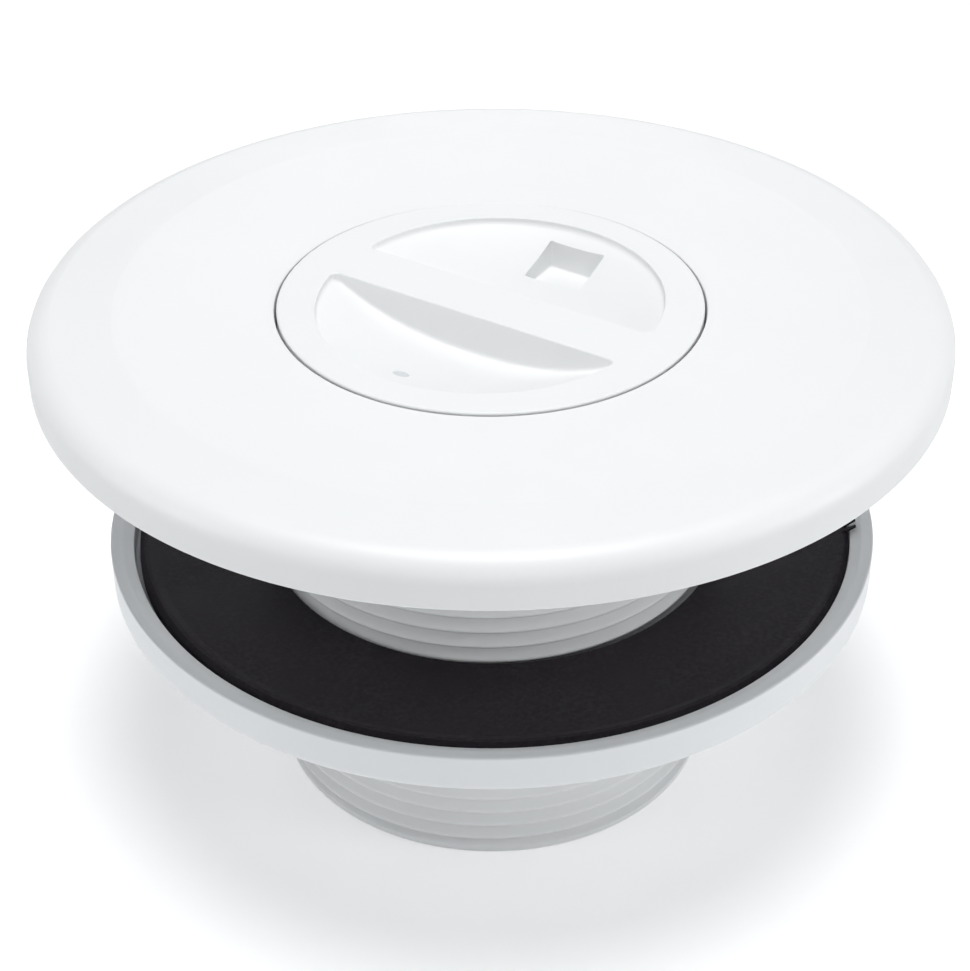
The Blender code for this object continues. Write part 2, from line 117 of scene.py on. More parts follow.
def moulded_abs(name, colour, shade, roughness, scar_with_painted_shade=None):
    """White ABS, injection moulded in a finely spark-eroded steel mould.

    It looks dense and satin: a broad soft highlight, a grain that is hardly
    seen, and a slow waviness where the plastic shrank over thick places. At a
    scar, the sunken mark where the sprue was broken off, it is dull, and its
    greyer colour is painted shade of that hollow.
    """
    made = bpy.data.materials.new(name)
    made.use_nodes = True
    tree = made.node_tree
    shader = tree.nodes["Principled BSDF"]
    place = add(tree, "ShaderNodeTexCoord").outputs["Object"]
    # Flow of the melt: faint cloudiness, patches about 18 mm across
    flow = add(tree, "ShaderNodeTexNoise", inputs={"Vector": place, "Scale": 1 / 0.018, "Detail": 3.0})
    tint = add(tree, "ShaderNodeMix", {"data_type": "RGBA"}, {
        "Factor": flow.outputs["Fac"], "A": linear(colour), "B": linear(shade),
    })
    # Handling: the gloss differs a little in patches of 5 mm
    handled = add(tree, "ShaderNodeTexNoise", inputs={"Vector": place, "Scale": 1 / 0.005, "Detail": 4.0})
    gloss = add(tree, "ShaderNodeMapRange", inputs={
        "Value": handled.outputs["Fac"], "From Min": 0.3, "From Max": 0.7,
        "To Min": roughness - 0.04, "To Max": roughness + 0.05,
    })
    # Shrinkage waves 9 mm long, and the grain of the mould's wall, 0.35 mm
    waves = add(tree, "ShaderNodeTexNoise", inputs={"Vector": place, "Scale": 1 / 0.009, "Detail": 1.0})
    grain = add(tree, "ShaderNodeTexNoise", inputs={"Vector": place, "Scale": 1 / 0.00035, "Detail": 2.0})
    wavy = add(tree, "ShaderNodeBump", inputs={
        "Strength": 0.5, "Distance": 0.00004, "Height": waves.outputs["Fac"],
    })
    grainy = add(tree, "ShaderNodeBump", inputs={
        "Strength": 0.35, "Distance": 0.00001, "Height": grain.outputs["Fac"],
        "Normal": wavy.outputs["Normal"],
    })
    colour_out, gloss_out = tint.outputs["Result"], gloss.outputs["Result"]
    # Within the gate scar the plastic is rougher, and a grey is painted in as the shade of its shallow
    # hollow
    if scar_with_painted_shade:
        away = add(tree, "ShaderNodeVectorMath", {"operation": "DISTANCE"}, {0: place, 1: scar_with_painted_shade})
        scar_dull_and_painted_shade = add(tree, "ShaderNodeMapRange", inputs={
            "Value": away.outputs["Value"], "From Min": 0.85 * GATE_RADIUS, "From Max": GATE_RADIUS,
            "To Min": 1.0, "To Max": 0.0,
        }).outputs["Result"]
        # D9DCDE is painted shade inside the gate scar
        colour_out = add(tree, "ShaderNodeMix", {"data_type": "RGBA"}, {
            "Factor": scar_dull_and_painted_shade, "A": colour_out, "B": linear("#D9DCDE"),
        }).outputs["Result"]
        gloss_out = add(tree, "ShaderNodeMix", {"data_type": "FLOAT"}, {
            "Factor": scar_dull_and_painted_shade, "A": gloss_out, "B": 0.8,
        }).outputs["Result"]
    tree.links.new(colour_out, shader.inputs["Base Color"])
    tree.links.new(gloss_out, shader.inputs["Roughness"])
    tree.links.new(grainy.outputs["Normal"], shader.inputs["Normal"])
    shader.inputs["IOR"].default_value = 1.53
    return made


def moulded_epdm(name, colour, dust, roughness):
    """Black EPDM rubber, compression moulded.

    It looks deep and dull: a wide weak sheen, a fine pebbled skin and traces
    of the chalky dust that keeps new seals from sticking together.
    """
    made = bpy.data.materials.new(name)
    made.use_nodes = True
    tree = made.node_tree
    shader = tree.nodes["Principled BSDF"]
    place = add(tree, "ShaderNodeTexCoord").outputs["Object"]
    # Dust lies in patches of about 12 mm, broken up by specks of 0.6 mm
    patches = add(tree, "ShaderNodeTexNoise", inputs={"Vector": place, "Scale": 1 / 0.012, "Detail": 5.0})
    specks = add(tree, "ShaderNodeTexNoise", inputs={"Vector": place, "Scale": 1 / 0.0006, "Detail": 2.0})
    both = add(tree, "ShaderNodeMath", {"operation": "MULTIPLY"}, {
        0: patches.outputs["Fac"], 1: specks.outputs["Fac"],
    })
    amount = add(tree, "ShaderNodeMapRange", inputs={
        "Value": both.outputs["Value"], "From Min": 0.2, "From Max": 0.45, "To Max": 0.5,
    })
    tint = add(tree, "ShaderNodeMix", {"data_type": "RGBA"}, {
        "Factor": amount.outputs["Result"], "A": linear(colour), "B": linear(dust),
    })
    gloss = add(tree, "ShaderNodeMapRange", inputs={
        "Value": patches.outputs["Fac"], "From Min": 0.3, "From Max": 0.7,
        "To Min": roughness - 0.06, "To Max": roughness + 0.08,
    })
    # Skin pebbled by the mould's blasted surface, 0.4 mm
    skin = add(tree, "ShaderNodeTexVoronoi", inputs={"Vector": place, "Scale": 1 / 0.0004})
    bumps = add(tree, "ShaderNodeBump", inputs={
        "Strength": 0.5, "Distance": 0.00003, "Height": skin.outputs["Distance"],
    })
    tree.links.new(tint.outputs["Result"], shader.inputs["Base Color"])
    tree.links.new(gloss.outputs["Result"], shader.inputs["Roughness"])
    tree.links.new(bumps.outputs["Normal"], shader.inputs["Normal"])
    shader.inputs["IOR"].default_value = 1.5
    shader.inputs["Specular IOR Level"].default_value = 0.3
    return made


# Geometry Nodes


def thread_tree():
    """A screw thread's surface as a tube, open at both ends.

    A grid's rows follow the helix, so each crest and each root is one clean
    line. Rows beyond either end are held at it and merged there.
    """
    tree = bpy.data.node_groups.new("screw_thread", "GeometryNodeTree")
    sockets = (
        ("Segments", "NodeSocketInt"), ("Turns", "NodeSocketInt"), ("Pitch", "NodeSocketFloat"),
        ("Crest Radius", "NodeSocketFloat"), ("Root Radius", "NodeSocketFloat"),
        ("Lowest Crest", "NodeSocketFloat"),
        ("Low Height", "NodeSocketFloat"), ("Low Radius", "NodeSocketFloat"),
        ("High Height", "NodeSocketFloat"), ("High Radius", "NodeSocketFloat"),
        ("Low Run-out", "NodeSocketFloat"), ("High Run-out", "NodeSocketFloat"),
        ("Material", "NodeSocketMaterial"),
    )
    for name, kind in sockets:
        tree.interface.new_socket(name, in_out="INPUT", socket_type=kind)
    tree.interface.new_socket("Thread", in_out="OUTPUT", socket_type="NodeSocketGeometry")
    given = add(tree, "NodeGroupInput").outputs
    steps = len(THREAD_STEPS)

    rows = add(tree, "FunctionNodeIntegerMath", {"operation": "MULTIPLY_ADD"}, {
        0: given["Turns"], 1: steps, 2: 1,
    }).outputs[0]
    columns = add(tree, "FunctionNodeIntegerMath", {"operation": "ADD"}, {0: given["Segments"], 1: 1})
    grid = add(tree, "GeometryNodeMeshGrid", inputs={"Vertices X": columns.outputs[0], "Vertices Y": rows})
    index = add(tree, "GeometryNodeInputIndex").outputs[0]
    column = add(tree, "FunctionNodeIntegerMath", {"operation": "DIVIDE"}, {0: index, 1: rows}).outputs[0]
    row = add(tree, "FunctionNodeIntegerMath", {"operation": "MODULO"}, {0: index, 1: rows}).outputs[0]
    tooth = add(tree, "FunctionNodeIntegerMath", {"operation": "DIVIDE"}, {0: row, 1: steps}).outputs[0]
    step = add(tree, "FunctionNodeIntegerMath", {"operation": "MODULO"}, {0: row, 1: steps}).outputs[0]

    shares = []
    for part in (0, 1):
        switch = add(tree, "GeometryNodeIndexSwitch", {"data_type": "FLOAT"})
        while len(switch.index_switch_items) < steps:
            switch.index_switch_items.new()
        tree.links.new(step, switch.inputs["Index"])
        for number, values in enumerate(THREAD_STEPS):
            switch.inputs[str(number)].default_value = values[part]
        shares.append(switch.outputs[0])
    along, height = shares

    turn = add(tree, "ShaderNodeMath", {"operation": "DIVIDE"}, {0: column, 1: given["Segments"]}).outputs[0]
    pitches = add(tree, "ShaderNodeMath", {"operation": "ADD"}, {0: tooth, 1: along}).outputs[0]
    pitches = add(tree, "ShaderNodeMath", {"operation": "ADD"}, {0: pitches, 1: turn}).outputs[0]
    free_z = add(tree, "ShaderNodeMath", {"operation": "MULTIPLY_ADD"}, {
        0: pitches, 1: given["Pitch"], 2: given["Lowest Crest"],
    }).outputs[0]
    held_z = add(tree, "ShaderNodeClamp", inputs={
        "Value": free_z, "Min": given["Low Height"], "Max": given["High Height"],
    }).outputs[0]

    depth = add(tree, "ShaderNodeMath", {"operation": "SUBTRACT"}, {
        0: given["Crest Radius"], 1: given["Root Radius"],
    }).outputs[0]
    radius = add(tree, "ShaderNodeMath", {"operation": "MULTIPLY_ADD"}, {
        0: depth, 1: height, 2: given["Root Radius"],
    }).outputs[0]
    for end, sign in (("Low", "ADD"), ("High", "SUBTRACT")):
        full = add(tree, "ShaderNodeMath", {"operation": sign}, {
            0: given[f"{end} Height"], 1: given[f"{end} Run-out"],
        }).outputs[0]
        grown_share = add(tree, "ShaderNodeMapRange", {"interpolation_type": "SMOOTHSTEP"}, {
            "Value": held_z, "From Min": given[f"{end} Height"], "From Max": full,
        }).outputs["Result"]
        radius = add(tree, "ShaderNodeMix", {"data_type": "FLOAT"}, {
            "Factor": grown_share, "A": given[f"{end} Radius"], "B": radius,
        }).outputs["Result"]

    angle = add(tree, "ShaderNodeMath", {"operation": "MULTIPLY"}, {0: turn, 1: math.tau}).outputs[0]
    place = []
    for operation in ("COSINE", "SINE"):
        share = add(tree, "ShaderNodeMath", {"operation": operation}, {0: angle}).outputs[0]
        side = add(tree, "ShaderNodeMath", {"operation": "MULTIPLY"}, {0: share, 1: radius})
        place.append(side.outputs[0])
    point = add(tree, "ShaderNodeCombineXYZ", inputs={"X": place[0], "Y": place[1], "Z": held_z})
    moved = add(tree, "GeometryNodeSetPosition", inputs={
        "Geometry": grid.outputs["Mesh"], "Position": point.outputs[0],
    })
    merged = add(tree, "GeometryNodeMergeByDistance", inputs={
        "Geometry": moved.outputs[0], "Distance": TINY,
    })
    realized = add(tree, "GeometryNodeRealizeInstances", inputs={"Geometry": merged.outputs[0]})
    painted = add(tree, "GeometryNodeSetMaterial", inputs={
        "Geometry": realized.outputs[0], "Material": given["Material"],
    })
    add(tree, "NodeGroupOutput", inputs={"Thread": painted.outputs[0]})
    return tree


def ring_tree():
    """Copies of a shape, set evenly round the z axis."""
    tree = bpy.data.node_groups.new("ring_of_copies", "GeometryNodeTree")
    for name, kind in (
        ("Shape", "NodeSocketObject"), ("Count", "NodeSocketInt"), ("Material", "NodeSocketMaterial"),
    ):
        tree.interface.new_socket(name, in_out="INPUT", socket_type=kind)
    tree.interface.new_socket("Ring", in_out="OUTPUT", socket_type="NodeSocketGeometry")
    given = add(tree, "NodeGroupInput").outputs
    shape = add(tree, "GeometryNodeObjectInfo", inputs={"Object": given["Shape"]})
    points = add(tree, "GeometryNodePoints", inputs={"Count": given["Count"]})
    index = add(tree, "GeometryNodeInputIndex").outputs[0]
    share = add(tree, "ShaderNodeMath", {"operation": "DIVIDE"}, {0: index, 1: given["Count"]}).outputs[0]
    angle = add(tree, "ShaderNodeMath", {"operation": "MULTIPLY"}, {0: share, 1: math.tau}).outputs[0]
    turn = add(tree, "ShaderNodeCombineXYZ", inputs={"Z": angle})
    copies = add(tree, "GeometryNodeInstanceOnPoints", inputs={
        "Points": points.outputs[0], "Instance": shape.outputs["Geometry"], "Rotation": turn.outputs[0],
    })
    realized = add(tree, "GeometryNodeRealizeInstances", inputs={"Geometry": copies.outputs[0]})
    painted = add(tree, "GeometryNodeSetMaterial", inputs={
        "Geometry": realized.outputs[0], "Material": given["Material"],
    })
    add(tree, "NodeGroupOutput", inputs={"Ring": painted.outputs[0]})
    return tree


def evaluated(made):
    """The object's mesh with its modifiers worked out, as a plain mesh."""
    bpy.context.view_layer.update()
    graph = bpy.context.evaluated_depsgraph_get()
    return bpy.data.meshes.new_from_object(made.evaluated_get(graph))


def link(name, mesh):
    """Put a mesh into the scene as a new object."""
    made = bpy.data.objects.new(name, mesh)
    bpy.context.scene.collection.objects.link(made)
    return made


def grown(tree, values):
    """A plain mesh from a Geometry Nodes tree with the named inputs set."""
    holder = link("holder", bpy.data.meshes.new("holder"))
    modifier = holder.modifiers.new("nodes", "NODES")
    modifier.node_group = tree
    for item in tree.interface.items_tree:
        if item.in_out == "INPUT":
            modifier[item.identifier] = values[item.name]
    mesh = evaluated(holder)
    bpy.data.objects.remove(holder)
    return mesh


def thread(shape, crest, root, first_crest, low, high, finish):
    """Add one thread to a bmesh. low and high are (height, radius, run-out)."""
    below = math.ceil((first_crest - low[0]) / PITCH + 1)
    lowest = first_crest - below * PITCH
    mesh = grown(THREAD, {
        "Segments": SEGMENTS, "Turns": math.ceil((high[0] - lowest) / PITCH), "Pitch": PITCH,
        "Crest Radius": crest, "Root Radius": root, "Lowest Crest": lowest,
        "Low Height": low[0], "Low Radius": low[1], "Low Run-out": low[2],
        "High Height": high[0], "High Radius": high[1], "High Run-out": high[2],
        "Material": finish,
    })
    shape.from_mesh(mesh)
    bpy.data.meshes.remove(mesh)


# Meshes


def rounded(corners, steps=4):
    """Points of a profile whose corners are rounded, in metres.

    A support point stands just outside each fillet, so that the flats beside
    it stay flat to the light. Fillets that share a side leave some of it flat.
    """
    corners = [tuple(value * MM for value in corner) for corner in corners]
    least_spare = 0.02 * MM
    points = []
    for number, (r, z, fillet) in enumerate(corners):
        corner = Vector((r, z))
        if not fillet or number in (0, len(corners) - 1):
            points.append((r, z))
            continue
        back = Vector(corners[number - 1][:2]) - corner
        ahead = Vector(corners[number + 1][:2]) - corner
        limit = 0.48 * min(back.length, ahead.length)
        back.normalize()
        ahead.normalize()
        half = back.angle(ahead) / 2
        reach = min(fillet / math.tan(half), limit)
        radius = reach * math.tan(half)
        start = corner + back * reach
        end = corner + ahead * reach
        centre = corner + (back + ahead).normalized() * (radius / math.sin(half))
        spare = min(SUPPORT * fillet, limit - reach * 0.99)
        if spare > least_spare:
            points.append(tuple(start + back * spare))
        first = start - centre
        sweep = (end - centre).angle_signed(first)
        for step in range(steps + 1):
            turn = Matrix.Rotation(sweep * step / steps, 2)
            points.append(tuple(centre + turn @ first))
        if spare > least_spare:
            points.append(tuple(end + ahead * spare))
    return points


def turned(shape, profile, closed=False, segments=SEGMENTS):
    """Add the surface that a profile sweeps round the z axis to a bmesh."""
    angles = [math.tau * i / segments for i in range(segments)]
    loops = []
    for r, z in profile:
        if r < TINY:
            loops.append([shape.verts.new((0.0, 0.0, z))])
            continue
        loops.append([shape.verts.new((r * math.cos(angle), r * math.sin(angle), z)) for angle in angles])
    pairs = list(zip(loops, loops[1:]))
    if closed:
        pairs.append((loops[-1], loops[0]))
    for one, other in pairs:
        for i in range(segments):
            j = (i + 1) % segments
            ring = [one[i % len(one)], one[j % len(one)], other[j % len(other)], other[i % len(other)]]
            corners = list(dict.fromkeys(ring))
            if len(corners) > 2:
                shape.faces.new(corners)


def sealed(shape, name):
    """Merge a bmesh's seams, turn its faces outward and make it an object."""
    bmesh.ops.remove_doubles(shape, verts=shape.verts, dist=2 * TINY)
    bmesh.ops.dissolve_degenerate(shape, edges=shape.edges, dist=TINY / 2)
    bmesh.ops.recalc_face_normals(shape, faces=shape.faces)
    mesh = bpy.data.meshes.new(name)
    shape.to_mesh(mesh)
    shape.free()
    return link(name, mesh)


def combined(made, tool, operation):
    """Join or cut an object with a tool, which is used up."""
    change = made.modifiers.new("change", "BOOLEAN")
    change.operation = operation
    change.solver = "EXACT"
    change.object = tool
    mesh = evaluated(made)
    made.modifiers.clear()
    old = made.data
    made.data = mesh
    bpy.data.meshes.remove(old)
    bpy.data.objects.remove(tool)


def finished(made, finish, body, node):
    """Give a piece its material and its place in the frame."""
    made.data.name = made.name
    made.data.materials.clear()
    made.data.materials.append(finish)
    made.data.shade_smooth()
    made.data.set_sharp_from_angle(angle=SHARP)
    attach(made, body)
    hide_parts(node)


def prism(outline, height, bevel, steps=2):
    """An extruded outline with all its edges rounded, as an object."""
    shape = bmesh.new()
    face = shape.faces.new([shape.verts.new(point) for point in outline])
    extruded = bmesh.ops.extrude_face_region(shape, geom=[face])
    moved = [item for item in extruded["geom"] if isinstance(item, bmesh.types.BMVert)]
    bmesh.ops.translate(shape, vec=height, verts=moved)
    bmesh.ops.recalc_face_normals(shape, faces=shape.faces)
    bmesh.ops.bevel(
        shape, geom=shape.edges[:], offset=bevel, offset_type="OFFSET",
        segments=steps, profile=0.5, affect="EDGES", clamp_overlap=True,
    )
    return sealed(shape, "prism")


def ring_of(made, count, finish):
    """A ring of copies of an object, which is used up, as an object."""
    mesh = grown(RING, {"Shape": made, "Count": count, "Material": finish})
    bpy.data.objects.remove(made)
    return link("ring", mesh)


# Pieces


def make_fitting_body():
    """Faceplate and threaded stem, one moulding."""
    shape = bmesh.new()
    plate = [
        (29.8, 61.4, 0), (29.8, 65.1, 1.5), (55.6, 65.1, 0.5), (55.6, 62.6, 0.4), (58.8, 62.6, 0.4),
        (58.8, 68.9, 3.4), (48.0, 69.2, 2.5), (27.66, 67.75, 0.2), (27.66, 61.4, 0.25),
        (24.4, 61.4, 0.2), (23.9, 60.9, 0.1), (23.9, 60.5, 0),
    ]
    turned(shape, rounded(plate, 6))
    crest = PLUG_BORE_RADIUS - THREAD_DEPTH
    thread(
        shape, crest, PLUG_BORE_RADIUS, PLUG_FIRST_CREST + PITCH / 2,
        (47.8 * MM, PLUG_BORE_RADIUS, 0.9 * MM), (60.5 * MM, PLUG_BORE_RADIUS, 0.6 * MM), WHITE_BODY,
    )
    tail = [
        (23.9, 47.8, 0), (23.9, 47.4, 0.2), (22.4, 45.9, 0.3), (22.4, 31.0, 0.3), (25.15, 31.0, 0.3),
        (25.15, 0.0, 0.5), (29.8, 0.0, 0.4), (29.8, 1.0, 0),
    ]
    turned(shape, rounded(tail))
    thread(
        shape, STEM_THREAD_RADIUS, STEM_THREAD_RADIUS - THREAD_DEPTH, STEM_FIRST_CREST,
        (1.0 * MM, STEM_THREAD_RADIUS, 0.6 * MM), (61.4 * MM, STEM_THREAD_RADIUS, 1.6 * MM), WHITE_BODY,
    )
    made = sealed(shape, "faceplate_and_stem")

    # Pockets that core out the plate's underside. An even number of points on
    # each arc keeps them off the plate's own mesh lines.
    inner, outer, rib, count, points = 49.6 * MM, 54.9 * MM, 1.6 * MM, 24, 6
    start, height, edge = 63.8 * MM, 2.4 * MM, 0.35 * MM
    outline = []
    for radius, sign in ((inner, 1), (outer, -1)):
        reach = math.pi / count - rib / 2 / radius
        for step in range(points):
            angle = sign * reach * (2 * step / (points - 1) - 1)
            outline.append((radius * math.cos(angle), radius * math.sin(angle), start))
    pocket = prism(outline, (0, 0, height), edge)
    combined(made, ring_of(pocket, count, WHITE_BODY), "DIFFERENCE")
    finished(made, WHITE_BODY, "fitting", "fitting_body")


def floor_depth(radius):
    """Depth of the dished floor of the finger recesses below the plug's face."""
    return RECESS_STEP + RECESS_DISH * (1.0 - (radius / RECESS_RADIUS) ** RECESS_POWER)


def floor_rise(radius):
    """How steeply that floor rises away from its middle."""
    return RECESS_DISH * RECESS_POWER / RECESS_RADIUS * (radius / RECESS_RADIUS) ** (RECESS_POWER - 1)


def recess_outline(low, high):
    """The top edge of a finger recess as (point, inward direction), in the bar's own axes.

    It runs along the bar's side at low, round a corner, round the arc of
    radius high and round the other corner.
    """
    corner_v = low + RECESS_CORNER
    corner_u = math.sqrt((high - RECESS_CORNER) ** 2 - (corner_v - RECESS_OFFSET) ** 2)
    turn = math.atan2(corner_v - RECESS_OFFSET, corner_u)
    outline = []
    along_bar = 64
    for step in range(along_bar):
        outline.append((Vector((corner_u * (2 * step / along_bar - 1), low)), Vector((0, 1))))
    for centre, start, end, radius, steps in (
        ((corner_u, corner_v), -math.pi / 2, turn, RECESS_CORNER, 10),
        ((0.0, RECESS_OFFSET), turn, math.pi - turn, high, 96),
        ((-corner_u, corner_v), math.pi - turn, math.pi * 1.5, RECESS_CORNER, 10),
    ):
        for step in range(steps):
            angle = start + (end - start) * step / steps
            outward = Vector((math.cos(angle), math.sin(angle)))
            outline.append((Vector(centre) + outward * radius, -outward))
    return outline


def finger_recess(shape, side, bar_side):
    """One scooped recess between the grip bar and the rim of the plug's face.

    Each column runs from a flat margin over the rounded edge, down the wall,
    through the fillet at its foot and over the dished floor to the middle.
    Beside the bar the edge is rounded more than on the arc and the foot less,
    and only the wall there has draft.
    """
    margin, edge, lip = 0.15 * MM, 0.3 * MM, 0.14 * MM
    edge_steps, foot_steps, floor_steps = 5, 6, 16
    middle = Vector((0, 12.5 * MM))
    deepest = Vector((0, RECESS_OFFSET))
    columns = []
    for point, inward in recess_outline(bar_side - edge, RECESS_RADIUS + lip):
        beside_bar = max(0.0, inward.y)
        top = lip + (edge - lip) * beside_bar
        foot = (0.8 - 0.3 * beside_bar) * MM
        draft = 0.12 * MM * beside_bar
        ground = point + inward * (top + draft + foot) - deepest
        radius = ground.length
        last = math.atan2(1.0, -floor_rise(radius) * inward.dot(ground) / radius)
        reach = top + draft + foot * (1 - math.cos(last))
        depth = floor_depth((point + inward * reach - deepest).length)
        wall_end = depth - foot * math.sin(last)
        rows = [(-margin, 0.0), (0.0, 0.0)]
        for step in range(1, edge_steps + 1):
            angle = math.pi / 2 * step / edge_steps
            rows.append((top * math.sin(angle), top * (1 - math.cos(angle))))
        rows.append((top + draft / 2, (top + wall_end) / 2))
        rows.append((top + draft, wall_end))
        for step in range(1, foot_steps + 1):
            angle = last * step / foot_steps
            rows.append((top + draft + foot * (1 - math.cos(angle)), wall_end + foot * math.sin(angle)))
        column = [(point + inward * offset, down) for offset, down in rows]
        start = column[-1][0]
        for step in range(1, floor_steps):
            place = start.lerp(middle, step / floor_steps)
            column.append((place, floor_depth((place - deepest).length)))
        columns.append(column)
    turn = Matrix.Rotation(BAR_ANGLE, 2)
    grid = []
    for column in columns:
        grid.append([])
        for place, down in column:
            x, y = turn @ place * side
            grid[-1].append(shape.verts.new((x, y, PLUG_FACE - down)))
    x, y = turn @ middle * side
    centre = shape.verts.new((x, y, PLUG_FACE - floor_depth((middle - deepest).length)))
    for one, other in zip(grid, grid[1:] + grid[:1]):
        for row in range(len(one) - 1):
            shape.faces.new((one[row], one[row + 1], other[row + 1], other[row]))
        shape.faces.new((one[-1], centre, other[-1]))


def gate_place():
    """The gate mark's middle on the floor of the near recess, and the floor's normal there."""
    out = Vector(GATE_MARK) + Vector((0.0, RECESS_OFFSET))
    tilt = -floor_rise(out.length) * out.normalized()
    turn = Matrix.Rotation(BAR_ANGLE, 3, "Z")
    place = turn @ Vector((*GATE_MARK, PLUG_FACE - floor_depth(out.length)))
    return place, turn @ Vector((*tilt, 1.0))


def beside_the_bar(made):
    """Turn a tool that was drawn along the x axis to lie along the grip bar."""
    made.data.transform(Matrix.Rotation(BAR_ANGLE, 4, "Z"))
    return made


def box(low, high, bevel):
    """A box between two corners, with rounded edges."""
    corners = ((low[0], low[1]), (high[0], low[1]), (high[0], high[1]), (low[0], high[1]))
    outline = [(x, y, low[2]) for x, y in corners]
    return prism(outline, (0, 0, high[2] - low[2]), bevel)


def make_plug():
    """Winter plug: a grip bar between two finger recesses, and a hollow skirt."""
    shape = bmesh.new()
    finger_recess(shape, 1, FAR_BAR_SIDE)
    finger_recess(shape, -1, NEAR_BAR_SIDE)
    head = [
        (26.6, 68.0, 0), (27.36, 68.0, 0.3), (27.36, 64.1, 0.25), (23.4, 64.1, 0.3), (23.4, 61.8, 0),
    ]
    turned(shape, rounded(head))
    # The flat of the face, between the head's edge and the two recesses
    edges = [edge for edge in shape.edges if edge.is_boundary and all(
        abs(vert.co.z - PLUG_FACE) < TINY for vert in edge.verts)]
    bmesh.ops.triangle_fill(shape, use_beauty=True, edges=edges, normal=(0, 0, 1))
    thread(
        shape, PLUG_THREAD_RADIUS, PLUG_THREAD_RADIUS - THREAD_DEPTH, PLUG_FIRST_CREST,
        (50.9 * MM, 22.5 * MM, 1.2 * MM), (61.8 * MM, 23.4 * MM, 0.8 * MM), WHITE_PLUG,
    )
    tail = [(22.5, 50.9, 0), (22.5, 50.2, 0.3), (0.0, 50.2, 0)]
    turned(shape, rounded(tail))
    made = sealed(shape, "screw_plug")

    # Tools reach from below the plug to above it
    below, above = 48.0 * MM, 72.0 * MM
    (left, right), (near, far) = POCKET_SIDES, POCKET_ENDS
    pocket = beside_the_bar(box((left, near, POCKET_FLOOR), (right, far, above), 0.25 * MM))
    combined(made, pocket, "DIFFERENCE")

    skirt, steps = 21.2 * MM, 16
    shape = bmesh.new()
    ceiling = []
    for step in range(steps + 1):
        radius = skirt * step / steps
        ceiling.append((radius, PLUG_FACE - floor_depth(radius) - PLUG_FLOOR))
    turned(shape, ceiling + [(skirt, below), (0.0, below)])
    hollow = sealed(shape, "hollow")
    # Its mesh lines stand between the plug's own, so that no two corners meet in the cut
    hollow.data.transform(Matrix.Rotation(math.pi / SEGMENTS, 4, "Z"))
    wall = PLUG_FLOOR
    boss = box(
        (left - wall, near - wall, POCKET_FLOOR - wall), (right + wall, far + 3 * wall, above), 0.6 * MM)
    combined(hollow, beside_the_bar(boss), "DIFFERENCE")
    combined(made, hollow, "DIFFERENCE")
    # A slot up into the grip bar, so that it has no thick place
    reach = 16.2 * MM
    slot = box(
        (-reach, wall - NEAR_BAR_SIDE, below), (reach, FAR_BAR_SIDE - wall, PLUG_FACE - wall), 0.6 * MM)
    combined(made, beside_the_bar(slot), "DIFFERENCE")

    shape = bmesh.new()
    mark = [
        (0, -GATE_DEPTH), (0.85 * GATE_RADIUS, -0.8 * GATE_DEPTH),
        (GATE_RADIUS, GATE_DEPTH / 2), (0, GATE_DEPTH / 2),
    ]
    turned(shape, mark, segments=32)
    place, normal = gate_place()
    turn = normal.to_track_quat("Z", "Y").to_matrix().to_4x4()
    bmesh.ops.transform(shape, matrix=Matrix.Translation(place) @ turn, verts=shape.verts)
    combined(made, sealed(shape, "gate_mark"), "DIFFERENCE")
    finished(made, WHITE_PLUG, "plug_screw", "plug")


def make_plug_o_ring():
    """O-ring round the plug's neck, with the moulding line round its middle."""
    shape = bmesh.new()
    section, centre_r, centre_z, line = 1.05 * MM, 24.95 * MM, 62.75 * MM, 0.04 * MM
    steps = 20
    profile = []
    for step in range(steps):
        angle = math.tau * step / steps
        radius = section + (line if step in (0, steps // 2) else 0.0) - line
        profile.append((centre_r + radius * math.cos(angle), centre_z + radius * math.sin(angle)))
    turned(shape, profile, closed=True)
    made = sealed(shape, "o_ring")
    finished(made, BLACK_O_RING, "plug_carriage", "plug_o_ring")


def make_wall_gasket():
    """Flat gasket, dished by the nut's seat, with a bead round its outer edge."""
    shape = bmesh.new()
    corners = [
        (30.3, 33.1, 0.25), (45.8, 34.3, 0.8), (46.8, 34.72, 0.3), (47.3, 34.72, 0.15), (47.95, 34.1, 0.2),
        (47.95, 32.4, 0.35), (30.3, 30.9, 0.25),
    ]
    # A corner more at either end, dropped again below, lets the first and the last be rounded
    corners = corners[-1:] + corners + corners[:1]
    turned(shape, rounded(corners, 3)[1:-1], closed=True, segments=2 * SEGMENTS)
    # The rubber was trimmed by hand: its edge wavers by a few hundredths of a
    # millimetre. Waves as (number round the edge, phase, height in mm)
    trimmed_from = 46.9 * MM
    waves = ((7, 1, 0.03), (19, 0, 0.02), (43, 2, 0.012))
    for vert in shape.verts:
        radius = math.hypot(vert.co.x, vert.co.y)
        if radius > trimmed_from:
            angle = math.atan2(vert.co.y, vert.co.x)
            waver = sum(height * math.sin(number * angle + phase) for number, phase, height in waves)
            vert.co.xy *= 1 + waver * MM / radius
        vert.co.xy += Vector(GASKET_SLIDE)
    made = sealed(shape, "gasket")

    # Flash: two thin tags of rubber, squeezed out of the mould, that lie over the nut's lip
    outline = [(47.0, 34.45), (47.7, 34.45), (49.2, 35.62), (49.05, 35.74), (47.5, 34.95)]
    half = 0.28 * MM
    for degrees in FLASH:
        tag = prism([(r * MM, -half, z * MM) for r, z in outline], (0, 2 * half, 0), 0.05 * MM)
        tag.data.transform(Matrix.Rotation(math.radians(degrees), 4, "Z"))
        combined(made, tag, "UNION")
    finished(made, BLACK_GASKET, "nut_carriage", "wall_gasket")


